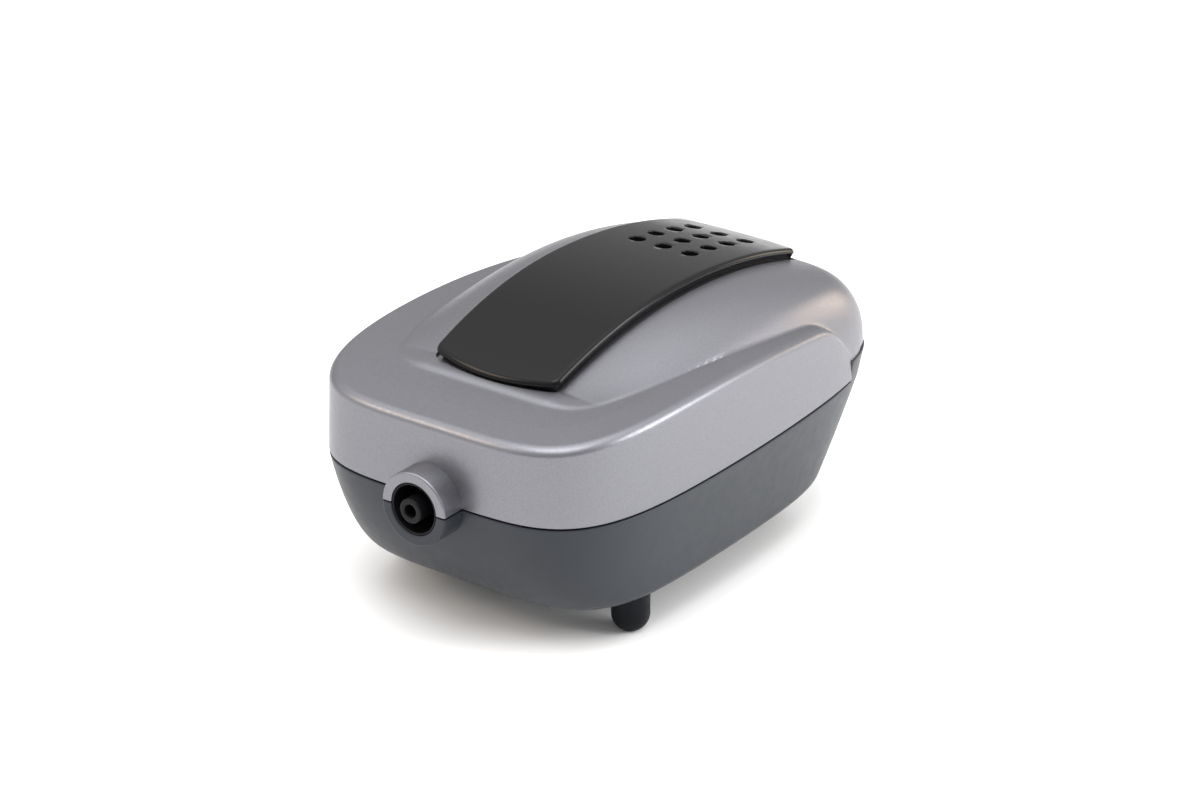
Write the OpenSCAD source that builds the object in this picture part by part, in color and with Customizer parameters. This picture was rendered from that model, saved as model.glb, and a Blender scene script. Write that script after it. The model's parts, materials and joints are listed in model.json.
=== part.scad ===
/* [Casing] */
// Width across the two long sides, at the parting line
body_w = 80; // [76:1:84]
// Length of the casing without its outlet collar
body_l = 117; // [114:1:120]
// Depth of the lower housing below the parting line
hull_d = 24; // [22:1:26]
// Wall of both housings
wall = 2.2; // [1.8:0.1:2.6]
// Gap shown between the two housings
seam_gap = 0.4; // [0.2:0.1:0.6]
// Height by which the parting line steps up at the rear
step_h = 4.5; // [3:0.5:6]
// Distance of that step from the front
step_y = 100; // [96:1:104]

/* [Top] */
// Height of the shelf's edge above the parting line at mid length
shelf_h = 19.6; // [18:0.1:21]
// Rounding along the shelf's edge
shelf_r = 1.9; // [1.2:0.1:2.4]
// Height of the domed centre above the parting line
ridge_h = 27.5; // [26:0.1:29]
// Distance of the dome's highest point from the front
ridge_y = 63; // [60:1:68]
// Height of the inlaid panel above the middle of the dome
panel_rise = 2.4; // [1.6:0.1:3]
// Greatest half width of the panel
panel_hw = 16.45; // [14:0.05:18]
// Diameter of one air hole in the panel
vent_d = 3.7; // [3:0.1:4.6]
// Spacing of the air holes across and along the panel
vent_pitch = 6.9; // [6.2:0.1:7.5]

/* [Outlet] */
// How far the outlet collar stands out of the front wall
collar_out = 5.6; // [4:0.1:8]
// Outside radius of the collar
collar_r = 8.05; // [7.5:0.05:9]
// Radius of the round recess inside the collar
recess_r = 5.75; // [5.2:0.05:6.2]
// Outside radius of the airline nozzle
nozzle_r = 2.7; // [2.2:0.05:3]
// Radius of the airway through the nozzle
airway_r = 1.45; // [1:0.05:1.6]
// How far the nozzle stands out of the front wall
nozzle_out = 6.6; // [5:0.1:9]

/* [Feet and cord entry] */
// Height of the feet below the lower housing
foot_h = 9; // [7:0.5:11]
// Diameter of a rubber foot
foot_d = 8.2; // [7:0.1:10]
// Radius of the hole for the mains cord
cord_r = 3.1; // [2.6:0.1:3.6]

/* [Mechanism] */
// Sideways position of the diaphragm's axis
dia_x = -5; // [-6:0.5:-4]
// Sideways position of the electromagnet's middle
core_x = 2; // [1:0.5:3]
// Sideways position of the swing arm's pivot
pivot_x = -29; // [-30:0.5:-28]
// Radius of the swing arm's pivot pin
pin_r = 1.5; // [1.2:0.1:2]

/* [Hidden] */

silver = [0.66, 0.66, 0.69];
graphite = [0.24, 0.25, 0.26];
charcoal = [0.12, 0.12, 0.13];
black = [0.05, 0.05, 0.05];
steel = [0.72, 0.73, 0.75];
pale_plastic = [0.82, 0.82, 0.78];
copper = [0.72, 0.42, 0.22];

// Casing frame: x across, y from the front wall, z from the parting line.
seam_z = foot_h + hull_d;
front_y = -(body_l - nozzle_out) / 2;
fine = 48;
tiny = 0.01;

// ---- plan outline of the casing ----
plan_yc = 50.5;
wide_y = 50.3;
side_r = 440;
front_n = 4.6;
rear_n = 7.2;
function half_w(y) = body_w / 2 - pow(y - wide_y, 2) / (2 * side_r);
function oval_r(a, b, n, phi) =
    pow(pow(abs(cos(phi)) / a, n) + pow(abs(sin(phi)) / b, n), -1 / n);
// Point of the outline at polar angle phi, moved in by dx, front df and rear dr
function plan(phi, dx, df, dr) =
    let (front = sin(phi) < 0)
    let (a = body_w / 2 - dx)
    let (b = front ? plan_yc - df : body_l - plan_yc - dr)
    let (r = oval_r(a, b, front ? front_n : rear_n, phi))
    let (y = plan_yc + r * sin(phi))
    [r * cos(phi) * half_w(y) / (body_w / 2), y];

// ---- polar angles of the columns, with a close pair at the parting line's step ----
cols_front = 22;
cols_rear = 9;
step_pair = 0.2;
step_ratio = pow((step_y - plan_yc) / (body_l - plan_yc), rear_n);
step_phi = atan2(step_y - plan_yc, body_w / 2 * pow(1 - step_ratio, 1 / rear_n));
half_angles = concat(
    [for (i = [0:cols_front]) -90 + i * (step_phi - step_pair + 90) / cols_front],
    [for (i = [0:cols_rear]) step_phi + step_pair + i * (90 - step_phi - step_pair) / cols_rear]);
half_count = len(half_angles);
angles = concat(half_angles, [for (i = [half_count - 2:-1:1]) 180 - half_angles[i]]);
columns = len(angles);
// 1 where the casing carries the raised rear part of the parting line
function raised(phi) = sin(phi) * 90 > 0 && abs(sin(phi)) > sin(step_phi) ? 1 : 0;

// ---- upper surface of the casing ----
ridge_rf = 114.3;
ridge_rr = 147.2;
function ridge(y) =
    let (r = y < ridge_y ? ridge_rf : ridge_rr)
    ridge_h - r + sqrt(r * r - pow(y - ridge_y, 2));
shelf_mid = 54;
shelf_tilt = 1.94;
shelf_sag = 4.67;
shelf_tail = 85;
shelf_fall = 0.035;
shelf_crown = 0.2;
// Level from which the dome rises, and the shelf, which falls away at the rear
function plinth(y) =
    let (u = (y - shelf_mid) / shelf_mid)
    shelf_h - shelf_tilt * u - shelf_sag * u * u;
function shelf(y) = plinth(y) - shelf_fall * pow(max(0, y - shelf_tail), 2);
// Half width of the dome where it meets the plinth, and the squareness of its section
dome_hw = 33.8;
dome_taper = 0.0018;
function dome_foot(y) = dome_hw - dome_taper * pow(max(0, shelf_tail - y), 2);
dome_n = 4.62;
dome_n_rate = 0.0445;
function dome(x, y) =
    let (fall = max(1, ridge(y) - plinth(y) - shelf_crown))
    ridge(y) - fall * pow(abs(x) / dome_foot(y), dome_n + dome_n_rate * (y - 60));
// Front foot of the dome, and the short ramp that rises from it
nose_y = 17;
nose_run = 10;
nose_hw = 27;
nose_n = 8;
nose_cap = 4;
ramp = 1.1;
function nose_line(x) = nose_y + nose_run * min(nose_cap, pow(abs(x) / nose_hw, nose_n));
function soft_max(a, b, e) = (a + b + sqrt(pow(a - b, 2) + e * e)) / 2;
function soft_min(a, b, e) = (a + b - sqrt(pow(a - b, 2) + e * e)) / 2;
function edge_drop(r, d) = d >= r ? 0 : r - sqrt(r * r - pow(r - d, 2));
dome_r = 8;
// Low step by which the dome's front stands above the shelf, fading out further back
lip_h = 0.8;
lip_y = 32;
lip_hw = 26;
lip_fade = 10;
function unit_ramp(t) = max(0, min(1, t));
function lip(x, y) =
    lip_h * unit_ramp((lip_y - y) / lip_fade) * unit_ramp((lip_hw - abs(x)) / lip_fade);
function top_z(x, y, d) =
    let (base = shelf(y) + shelf_crown * min(1, d / dome_r))
    let (nose = base + ramp * (y - nose_line(x)))
    let (crown = soft_min(max(dome(x, y), base + lip(x, y)), nose, 0.7))
    soft_max(base - edge_drop(shelf_r, d), crown - edge_drop(dome_r, d), 0.4);

// Ring of the upper surface, moved in by d from the wall, or drawn to the middle by s
draft = 0.43;
function top_ring(d, s, drop) = [for (phi = angles)
    let (p = plan(phi, d + draft, d + draft, d + draft))
    let (q = [p[0] * s, plan_yc + (p[1] - plan_yc) * s])
    let (in = d + (1 - s) * (body_w / 2 - d))
    [q[0], q[1], top_z(q[0], q[1], in) - drop]];
function rim_z(phi) = raised(phi) * step_h;
function rim_ring(d) = [for (phi = angles)
    let (p = plan(phi, d, d, d))
    [p[0], p[1], rim_z(phi) + seam_gap / 2]];

// ---- lower surface of the casing ----
side_slope = 0.21;
keel_r = 2.1;
bow_slope = 0.198;
bow_run = 9.6;
bow_h = 21.2;
stern_slope = 0.453;
stern_curve = 0.004;
stern_r = 2.8;
function hull_side(q) = side_slope * max(0, q) + edge_drop(keel_r, hull_d - q);
function hull_front(q) = bow_slope * max(0, q) + bow_run / bow_h * edge_drop(bow_h, hull_d - q);
function hull_rear(q) =
    let (u = q + step_h)
    stern_slope * u + stern_curve * u * u + edge_drop(stern_r, hull_d - q);
function hull_ring(q, t, top) = [for (phi = angles)
    let (depth = top ? -rim_z(phi) : q)
    let (p = plan(phi, hull_side(depth) + t, hull_front(depth) + t, hull_rear(depth) + t))
    [p[0], p[1], -depth - (top ? seam_gap / 2 : 0)]];
function floor_ring(s, z) = [for (phi = angles)
    let (q = hull_d - tiny)
    let (p = plan(phi, hull_side(q), hull_front(q), hull_rear(q)))
    [p[0] * s, plan_yc + (p[1] - plan_yc) * s, z]];

// Closed solid from rings that run from one pole to the other
module loft(rings, pole_a, pole_b) {
    n = len(rings[0]);
    m = len(rings);
    points = concat([for (ring = rings) each ring], [pole_a, pole_b]);
    sides = [for (k = [0:m - 2]) for (i = [0:n - 1])
        let (a = k * n + i, b = k * n + (i + 1) % n)
        each [[a, b, b + n], [a, b + n, a + n]]];
    first = [for (i = [0:n - 1]) [n * m, (i + 1) % n, i]];
    last = [for (i = [0:n - 1]) [n * m + 1, n * (m - 1) + i, n * (m - 1) + (i + 1) % n]];
    polyhedron(points, concat(first, sides, last), convexity = 10);
}

module casing_frame() {
    translate([0, front_y, seam_z]) children();
}

// Cylinder along y, from y0 to y1
module along_y(r, y0, y1, x = 0, z = 0) {
    translate([x, y0, z]) rotate([-90, 0, 0]) cylinder(r = r, h = y1 - y0, $fn = fine);
}

// Cylinder along z, from z0 to z1
module along_z(r, z0, z1, x = 0, y = 0) {
    translate([x, y, z0]) cylinder(r = r, h = z1 - z0, $fn = fine);
}

// Box given by its two corners
module box(a, b) {
    translate(a) cube(b - a);
}

// ---- places shared by several parts ----
screw_spots = [[-15, 20], [15, 20], [-27, 84], [27, 84]];
post_tops = [17.8, 17.8, 19.8, 19.8];
foot_front = [28.5, 30];
foot_rear = [18, 93.5];
screw_r = 1.5;
boss_r = 4.2;
head_r = 2.9;
head_z = -8;
collar_base = 3;
flange_y = 2.6;
flange_t = 2;
grommet_x = -16;
grommet_z = -8;
grommet_r = 4.6;
tail_y = body_l - 3;
vent_y = 80.9;

module top_shell() {
    drops = [0, 0.16, 0.5, 1, 1.6, 3, 5, 7.5, 10.5, 14];
    shrink = [0.95, 0.91, 0.87, 0.82, 0.74, 0.64, 0.5, 0.34, 0.17];
    inner = [wall, 5, 9, 14];
    last_d = 14;
    loft(concat(
        [for (i = [len(shrink) - 1:-1:0]) top_ring(last_d, shrink[i], 0)],
        [for (i = [len(drops) - 1:-1:0]) top_ring(drops[i], 1, 0)],
        [rim_ring(0), rim_ring(wall)],
        [for (d = inner) top_ring(d, 1, wall)],
        [for (s = [0.85, 0.65, 0.4, 0.2]) top_ring(last_d, s, wall)]),
        [0, plan_yc, ridge(plan_yc)],
        [0, plan_yc, ridge(plan_yc) - wall]);
}

// Half of the outlet collar, above (side 1) or below (side -1) the parting line
module collar_half(side) {
    reach = 2 * collar_r;
    low = side > 0 ? seam_gap / 2 : -reach;
    intersection() {
        rotate([90, 0, 0]) translate([0, 0, -collar_base]) rotate_extrude($fn = 72)
            polygon([[0, 0], [collar_r, 0], [collar_r, collar_base + collar_out - 0.6],
                [collar_r - 0.6, collar_base + collar_out], [0, collar_base + collar_out]]);
        box([-reach, -reach, low], [reach, reach, low + reach - seam_gap / 2]);
    }
}

module outlet_recess() {
    along_y(recess_r, -collar_out - 1, flange_y + flange_t + 0.1);
    along_y(nozzle_r + 0.3, flange_y, 12);
}

// Wall block that captures the nozzle's flange
module nozzle_seat(side) {
    low = side > 0 ? seam_gap / 2 : -9;
    box([-8, 1, low], [8, flange_y + flange_t + 2.2, low + 9 - seam_gap / 2]);
}

// Bar under the filter, joined to the shell at both ends
module filter_bar(y) {
    reach = 14;
    translate([0, y, ridge(y) - wall]) {
        box([-reach, -0.8, -1.9], [reach, 0.8, -0.3]);
        for (sx = [-1, 1])
            box([sx * (reach - 1) - 1, -0.8, -1.9], [sx * (reach - 1) + 1, 0.8, 0.5]);
    }
}

module top_housing() {
    bar_ys = [vent_y + vent_pitch / 2, vent_y + 2.5 * vent_pitch];
    color(silver) casing_frame() {
        for (y = bar_ys) filter_bar(y);
        difference() {
            union() {
                top_shell();
                collar_half(1);
                nozzle_seat(1);
                for (i = [0:3])
                    along_z(3.6, seam_gap / 2 + 0.3, post_tops[i], screw_spots[i][0], screw_spots[i][1]);
            }
            outlet_recess();
            for (p = screw_spots) along_z(screw_r + 0.05, -1, 12, p[0], p[1]);
            panel_pocket();
            filter_block(0, 0.2, 4);
            for (y = panel_pegs) for (sx = [-1, 1]) along_z(1.6, 12, 32, sx * peg_x, y);
        }
    }
}

module hull_shell() {
    depths = [0, 4, 8, 12, 16, 19, 21.5, 23.2];
    scale_d = hull_d / 24;
    lip_t = wall + 0.25;
    lip = 1.2;
    lip_h = 1.6;
    outer = concat([hull_ring(0, 0, true)],
        [for (i = [1:7]) hull_ring(depths[i] * scale_d, 0, false)],
        [floor_ring(1, -hull_d), floor_ring(0.5, -hull_d)]);
    lip_out = [for (phi = angles) let (p = plan(phi, lip_t, lip_t, hull_rear(-rim_z(phi)) + lip_t))
        [p[0], p[1], rim_z(phi) - seam_gap / 2]];
    lip_top = [for (p = lip_out) [p[0], p[1], p[2] + lip_h]];
    lip_in = [for (phi = angles)
        let (t = lip_t + lip)
        let (p = plan(phi, t, t, hull_rear(-rim_z(phi)) + t))
        [p[0], p[1], rim_z(phi) - seam_gap / 2 + lip_h]];
    inner = concat(
        [for (q = [4, 12, 18]) hull_ring(q * scale_d, wall + 0.2, false)],
        [for (ring = [hull_ring(20.5 * scale_d, wall, false)])
            [for (p = ring) [p[0], p[1], -hull_d + wall]]]);
    inner_floor = [for (p = inner[3]) [p[0] * 0.5, plan_yc + (p[1] - plan_yc) * 0.5, p[2]]];
    rings = concat([inner_floor], [for (i = [3:-1:0]) inner[i]], [lip_in, lip_top, lip_out], outer);
    loft(rings, [0, plan_yc, -hull_d + wall], [0, plan_yc, -hull_d]);
}

module bottom_housing() {
    floor_z = -hull_d + wall / 2;
    color(graphite) casing_frame() difference() {
        union() {
            hull_shell();
            collar_half(-1);
            nozzle_seat(-1);
            for (p = screw_spots) along_z(boss_r, floor_z, -seam_gap / 2 - 0.3, p[0], p[1]);
            for (p = core_spots) along_z(3.5, floor_z, core_low, p[0], p[1]);
            for (p = bracket_spots) along_z(3.4, floor_z, bracket_low, p[0], p[1]);
            for (p = lug_spots) along_z(3.6, floor_z, lug_low, p[0], p[1]);
            along_y(grommet_r + 1.6, 103, tail_y - 1.6, grommet_x, grommet_z);
        }
        outlet_recess();
        for (p = screw_spots) along_z(head_r + 0.3, -hull_d - 1, head_z - 1.8, p[0], p[1]);
        for (p = screw_spots) along_z(screw_r + 0.2, -hull_d - 1, 2, p[0], p[1]);
        for (p = core_spots) along_z(screw_r + 0.05, core_low - 9, core_low + 1, p[0], p[1]);
        for (p = bracket_spots) along_z(1.25, bracket_low - 5.5, bracket_low + 1, p[0], p[1]);
        for (p = lug_spots) along_z(1.25, lug_low - 4, lug_low + 1, p[0], p[1]);
        for (sx = [-1, 1]) along_z(foot_stem_r + 0.1, -hull_d - 1, 0, sx * foot_front[0], foot_front[1]);
        for (sx = [-1, 1]) along_z(foot_stem_r + 0.1, -hull_d - 1, 0, sx * foot_rear[0], foot_rear[1]);
        along_y(grommet_r + 0.05, 95, body_l + 5, grommet_x, grommet_z);
        along_y(grommet_r + 1.3, tail_y - 1.6, body_l + 5, grommet_x, grommet_z);
        box([-8.6, 1, -seam_gap / 2], [8.6, 7, 3]);
    }
}

// ---- inlaid panel ----
panel_yf = 19.3;
panel_yr = 111.6;
panel_bow = 2.9;
panel_corner = 1.5;
panel_edge = 1;
panel_pegs = [34, 62];
peg_x = 10;
panel_yc = (panel_yf + panel_yr) / 2;
side_steps = 9;
arc_steps = 5;
function panel_side(y) = panel_hw - 0.0004 * pow(y - 60, 2);
function panel_top(y) = ridge(y) + panel_rise;
// Outline of a rounded oblong with half sides a and b, counter-clockwise
function arc_at(x, y, r, start) = [for (i = [0:arc_steps])
    let (t = start + i * 90 / arc_steps)
    [x + r * cos(t), y + r * sin(t)]];
function oblong(a, b, r) = concat(
    [for (i = [0:side_steps - 1]) [a, (b - r) * (2 * i / side_steps - 1)]],
    arc_at(a - r, b - r, r, 0),
    arc_at(r - a, b - r, r, 90),
    [for (i = [1:side_steps - 1]) [-a, (b - r) * (1 - 2 * i / side_steps)]],
    arc_at(r - a, r - b, r, 180),
    [for (i = [0:arc_steps - 1]) arc_at(a - r, r - b, r, 270)[i]]);
function panel_ring(d, s, z_of) =
    let (a = panel_hw - d)
    let (b = (panel_yr - panel_yf) / 2 - d)
    [for (q = oblong(a, b, panel_corner - d))
        let (x = s * q[0] * panel_side(panel_yc + s * q[1]) / panel_hw)
        let (v = s * q[1])
        let (y = panel_yc + v - sign(v) * panel_bow * pow(x / panel_hw, 2) * pow(abs(v) / b, 2))
        [x, y, z_of(x, y)]];
// The panel lies in a shallow pocket, clear of its floor
pocket_deep = 0.7;
panel_lift = 0.25;
pocket_gap = 0.35;
pocket_floor = function (x, y) top_z(x, y, min(body_l - y, 30)) - pocket_deep;
panel_under = function (x, y) pocket_floor(x, y) + panel_lift;
under_scales = [0.94, 0.86, 0.76, 0.64, 0.5, 0.34, 0.17];
module panel_body() {
    upper = function (drop) function (x, y) panel_top(y) - drop;
    rows = [0, 0.2, 0.5, 1];
    loft(concat(
        [for (s = [0.3, 0.6, 0.85]) panel_ring(panel_edge, s, upper(0))],
        [for (i = [3:-1:0]) panel_ring(rows[i], 1, upper(edge_drop(panel_edge, rows[i])))],
        [panel_ring(0, 1, panel_under)],
        [for (s = under_scales) panel_ring(0, s, panel_under)]),
        [0, panel_yc, panel_top(panel_yc)],
        [0, panel_yc, panel_under(0, panel_yc)]);
}
module panel_pocket() {
    open_top = function (x, y) panel_top(y) + 1;
    loft(concat(
        [panel_ring(-pocket_gap, 1, open_top)],
        [panel_ring(-pocket_gap, 1, pocket_floor)],
        [for (s = under_scales) panel_ring(-pocket_gap, s, pocket_floor)]),
        [0, panel_yc, panel_top(panel_yc) + 1],
        [0, panel_yc, pocket_floor(0, panel_yc)]);
}

module top_panel() {
    color(charcoal) casing_frame() difference() {
        union() {
            panel_body();
            for (y = panel_pegs) for (sx = [-1, 1])
                along_z(1.5, ridge(y) - 4, ridge(y) + 1, sx * peg_x, y);
        }
        for (i = [-1:1]) for (k = [0:3])
            along_z(vent_d / 2, 15, 40, i * vent_pitch, vent_y + k * vent_pitch);
    }
}

// ---- felt filter in its window below the air holes ----
filter_hw = 11;
filter_y0 = vent_y - 5;
filter_y1 = vent_y + 3 * vent_pitch + 5;
module filter_block(sink, grow, extra) {
    rows = 6;
    rim = function (x, y, z) [x, y, ridge(y) + z];
    level = function (z) concat(
        [for (i = [0:rows]) rim(filter_hw + grow, filter_y0 - grow
            + i * (filter_y1 - filter_y0 + 2 * grow) / rows, z)],
        [for (i = [rows:-1:0]) rim(-filter_hw - grow, filter_y0 - grow
            + i * (filter_y1 - filter_y0 + 2 * grow) / rows, z)]);
    mid = (filter_y0 + filter_y1) / 2;
    high = extra > 0 ? extra : -pocket_deep - 0.1;
    low = -wall - (extra > 0 ? extra : -0.1) - sink;
    loft([level(high), level(low)], [0, mid, ridge(mid) + high], [0, mid, ridge(mid) + low]);
}

module air_filter() {
    color([0.2, 0.2, 0.2]) casing_frame() filter_block(0, 0, 0);
}

// ---- airline outlet ----
module outlet_nozzle() {
    spigot_y = 13;
    cup_y = 0.5 - collar_out;
    color(black) casing_frame() difference() {
        union() {
            along_y(nozzle_r, -nozzle_out + 0.5, flange_y + 1);
            translate([0, -nozzle_out + 0.5, 0]) rotate([90, 0, 0])
                cylinder(r1 = nozzle_r, r2 = nozzle_r - 0.4, h = 0.5, $fn = fine);
            along_y(recess_r - 0.1, flange_y + 0.1, flange_y + flange_t);
            difference() {
                along_y(recess_r - 0.1, cup_y, flange_y + 0.2);
                along_y(recess_r - 0.6, cup_y - 1, flange_y + 0.1);
            }
            along_y(spigot_r, flange_y + 1, spigot_y);
        }
        along_y(airway_r, -nozzle_out - 1, spigot_y + 1);
    }
}

spigot_r = 2.3;
hose_y0 = 7.2;
hose_y1 = 23.4;
module air_hose() {
    color([0.2, 0.2, 0.2]) casing_frame() difference() {
        along_y(3.7, hose_y0, hose_y1);
        along_y(spigot_r + 0.03, hose_y0 - 1, hose_y1 + 1);
    }
}

module cord_grommet() {
    color(black) casing_frame() difference() {
        union() {
            along_y(grommet_r, 102, tail_y - 1, grommet_x, grommet_z);
            along_y(grommet_r + 1.2, tail_y - 1.55, tail_y, grommet_x, grommet_z);
            along_y(grommet_r + 1, 101, 102.9, grommet_x, grommet_z);
        }
        along_y(cord_r, 100, tail_y + 1, grommet_x, grommet_z);
    }
}

// ---- rubber feet ----
foot_stem_r = 2.4;
module foot(x, y) {
    r = foot_d / 2;
    color(black) casing_frame() translate([x, y, 0]) {
        translate([0, 0, -hull_d - foot_h]) rotate_extrude($fn = 40) {
            intersection() {
                translate([0, r - 0.3]) circle(r = r, $fn = 40);
                square([r, r - 0.3]);
            }
            translate([0, r - 0.3 - tiny]) square([r, foot_h - r + 0.3 - 0.1]);
            translate([0, foot_h - 1]) square([foot_stem_r, wall + 1.7]);
            translate([0, foot_h + wall + 0.2]) square([foot_stem_r + 0.5, 1.6]);
        }
    }
}
module foot_front_left() { foot(-foot_front[0], foot_front[1]); }
module foot_front_right() { foot(foot_front[0], foot_front[1]); }
module foot_rear_left() { foot(-foot_rear[0], foot_rear[1]); }
module foot_rear_right() { foot(foot_rear[0], foot_rear[1]); }

// Pan-head screw standing on its shank's tip, head seat at z, pointing up (dir 1) or down (-1)
module screw(x, y, z, length, r, head, dir) {
    translate([x, y, z]) rotate([dir > 0 ? 0 : 180, 0, 0]) difference() {
        union() {
            cylinder(r = r, h = length, $fn = fine);
            translate([0, 0, -1.6]) cylinder(r = head, h = 1.6, $fn = fine);
        }
        translate([-head * 0.6, -0.3, -2]) cube([head * 1.2, 0.6, 1.1]);
        translate([-0.3, -head * 0.6, -2]) cube([0.6, head * 1.2, 1.1]);
    }
}

module housing_screws() {
    color(steel) casing_frame() for (p = screw_spots)
        screw(p[0], p[1], head_z - 1.8, 18, screw_r, head_r, 1);
}

// ---- diaphragm pump ----
cup_y0 = 34;
cup_y1 = 44;
cup_hw = 18;
cup_hh = 16;
cavity_r = 13;
cavity_y = 37;
port_r = 2.2;
port_dx = 5;
lug_low = -17;
lug_y = 36.8;
lug_spots = [[dia_x - 22.5, lug_y], [dia_x + 22.5, lug_y]];
clamp_spots = [for (sx = [-1, 1]) for (sz = [-1, 1]) [dia_x + sx * 15, sz * 13]];
module chamber_body() {
    color(pale_plastic) casing_frame() difference() {
        union() {
            box([dia_x - cup_hw, cup_y0, -cup_hh], [dia_x + cup_hw, cup_y1, cup_hh]);
            box([dia_x - 26, cup_y0, lug_low], [dia_x + 26, lug_y + 2.8, lug_low + 3]);
        }
        difference() {
            along_y(cavity_r, cavity_y, cup_y1 + 1, dia_x);
            box([dia_x - port_dx - 3, cavity_y - 1, flap_top + 0.9],
                [dia_x - port_dx + 3, cavity_y + 1.4, flap_top + 2.2]);
        }
        for (sx = [-1, 1]) along_y(port_r, cup_y0 - 1, cavity_y + 1, dia_x + sx * port_dx);
        for (p = clamp_spots) along_y(1.3, cup_y0 - 1, cup_y1 + 1, p[0], p[1]);
        for (p = lug_spots) along_z(1.6, lug_low - 1, lug_low + 4, p[0], p[1]);
    }
}

gasket_t = 0.8;
module valve_gasket() {
    color(black) casing_frame() difference() {
        box([dia_x - cup_hw, cup_y0 - gasket_t, -cup_hh], [dia_x + cup_hw, cup_y0, cup_hh]);
        for (sx = [-1, 1]) box([dia_x + sx * 5 - 4, cup_y0 - 2, -5], [dia_x + sx * 5 + 4, cup_y0 + 1, 6]);
        for (p = clamp_spots) along_y(1.3, cup_y0 - 2, cup_y0 + 1, p[0], p[1]);
    }
}

cover_y0 = 25;
cover_y1 = cup_y0 - gasket_t;
module valve_cover() {
    outlet_x = dia_x + port_dx;
    inlet_x = dia_x - port_dx;
    color(pale_plastic) casing_frame() difference() {
        union() {
            box([dia_x - cup_hw, cover_y0, -cup_hh], [dia_x + cup_hw, cover_y1, cup_hh]);
            along_y(spigot_r, 14.5, cover_y0 + 1, outlet_x);
        }
        for (sx = [-1, 1])
            box([dia_x + sx * 5 - 4, cover_y0 + 2, -5], [dia_x + sx * 5 + 4, cover_y1 + 1, 6]);
        along_y(airway_r, 13, cover_y0 + 3, outlet_x);
        along_y(2, cover_y0 - 1, cover_y0 + 3, inlet_x);
        for (p = clamp_spots) along_y(1.3, cover_y0 - 1, cover_y1 + 1, p[0], p[1]);
    }
}

// Thin rubber tongues, each hinged at its upper end
flap_top = 5;
flap_t = 0.6;
bead_r = 0.45;
// Tongue that opens towards +y (side 1) or -y (side -1), with its seat at y
module flap(x, y, side) {
    far = y + side * flap_t;
    box([x - 3, min(y, far), -3.5], [x + 3, max(y, far), flap_top]);
    translate([x - 3, y + side * bead_r, flap_top + 0.35]) rotate([0, 90, 0])
        cylinder(r = bead_r, h = 6, $fn = fine);
}
module inlet_flap() {
    color(black) casing_frame() flap(dia_x - port_dx, cavity_y + 0.03, 1);
}
module outlet_flap() {
    color(black) casing_frame() flap(dia_x + port_dx, cup_y0 - 0.03, -1);
}

dia_t = 1.2;
module diaphragm() {
    color(black) casing_frame() translate([dia_x, cup_y1 + 0.02, 0]) rotate([-90, 0, 0])
        difference() {
            union() {
                rotate_extrude($fn = 64) polygon([[0, 0], [17.3, 0], [17.3, dia_t], [12.4, dia_t],
                    [11.6, dia_t + 1.4], [9.6, dia_t + 1.4], [8.6, dia_t], [0, dia_t]]);
            }
            translate([0, 0, -1]) rotate_extrude($fn = 64) polygon([[9.7, 0], [11.5, 0],
                [11.5, 1.6], [10.9, 2.4], [10.2, 2.4], [9.7, 1.6]]);
            translate([0, 0, -1]) cylinder(r = 1.55, h = 6, $fn = fine);
        }
}

ring_y0 = cup_y1 + dia_t + 0.05;
module diaphragm_ring() {
    color(pale_plastic) casing_frame() difference() {
        box([dia_x - cup_hw, ring_y0, -cup_hh], [dia_x + cup_hw, ring_y0 + 2.4, cup_hh]);
        along_y(cavity_r, ring_y0 - 1, ring_y0 + 4, dia_x);
        for (p = clamp_spots) along_y(1.5, ring_y0 - 1, ring_y0 + 4, p[0], p[1]);
    }
}

module chamber_screws() {
    color(steel) casing_frame() for (p = clamp_spots)
        translate([p[0], ring_y0 + 2.45, p[1]]) rotate([90, 0, 0])
            screw(0, 0, 0, 21, 1.2, 2.3, 1);
}

module mount_screws() {
    color(steel) casing_frame() for (p = lug_spots)
        screw(p[0], p[1], lug_low + 3.02, 6.5, 1.2, 2.6, -1);
}

// ---- swing arm with its magnets ----
arm_y = 52;
arm_t = 1.6;
arm_hh = 6;
pivot_y = arm_y + arm_t / 2;
arm_end = 21;
plate_y = cup_y1 + dia_t + 0.04;
module diaphragm_plate() {
    color(pale_plastic) casing_frame() difference() {
        union() {
            along_y(8, plate_y, plate_y + 1.2, dia_x);
            along_y(3.4, plate_y, arm_y, dia_x);
        }
        along_y(1.55, plate_y - 1, arm_y + 1, dia_x);
    }
}

module diaphragm_screw() {
    color(steel) casing_frame() translate([dia_x, arm_y + arm_t, 0]) rotate([90, 0, 0])
        screw(0, 0, 0, 10.6, 1.5, 2.8, 1);
}

module swing_arm() {
    color(steel) casing_frame() difference() {
        union() {
            box([pivot_x + 2, arm_y, -arm_hh], [arm_end, arm_y + arm_t, arm_hh]);
            along_z(pin_r + 1.6, -arm_hh, arm_hh, pivot_x, pivot_y);
        }
        along_z(pin_r + 0.05, -arm_hh - 1, arm_hh + 1, pivot_x, pivot_y);
        along_y(1.55, arm_y - 1, arm_y + arm_t + 1, dia_x);
    }
}

holder_y = arm_y + arm_t;
magnet_hw = 6;
magnet_back = holder_y + 1.9;
module magnet_holder() {
    color(charcoal) casing_frame() difference() {
        box([core_x - 15.5, holder_y, -7.5], [core_x + 15.5, holder_y + 5, 7.5]);
        for (sx = [-1, 1])
            box([core_x + sx * 7.5 - magnet_hw, magnet_back, -magnet_hw],
                [core_x + sx * 7.5 + magnet_hw, holder_y + 6, magnet_hw]);
        along_y(3.4, holder_y - 1, holder_y + 6, dia_x);
    }
}

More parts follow.
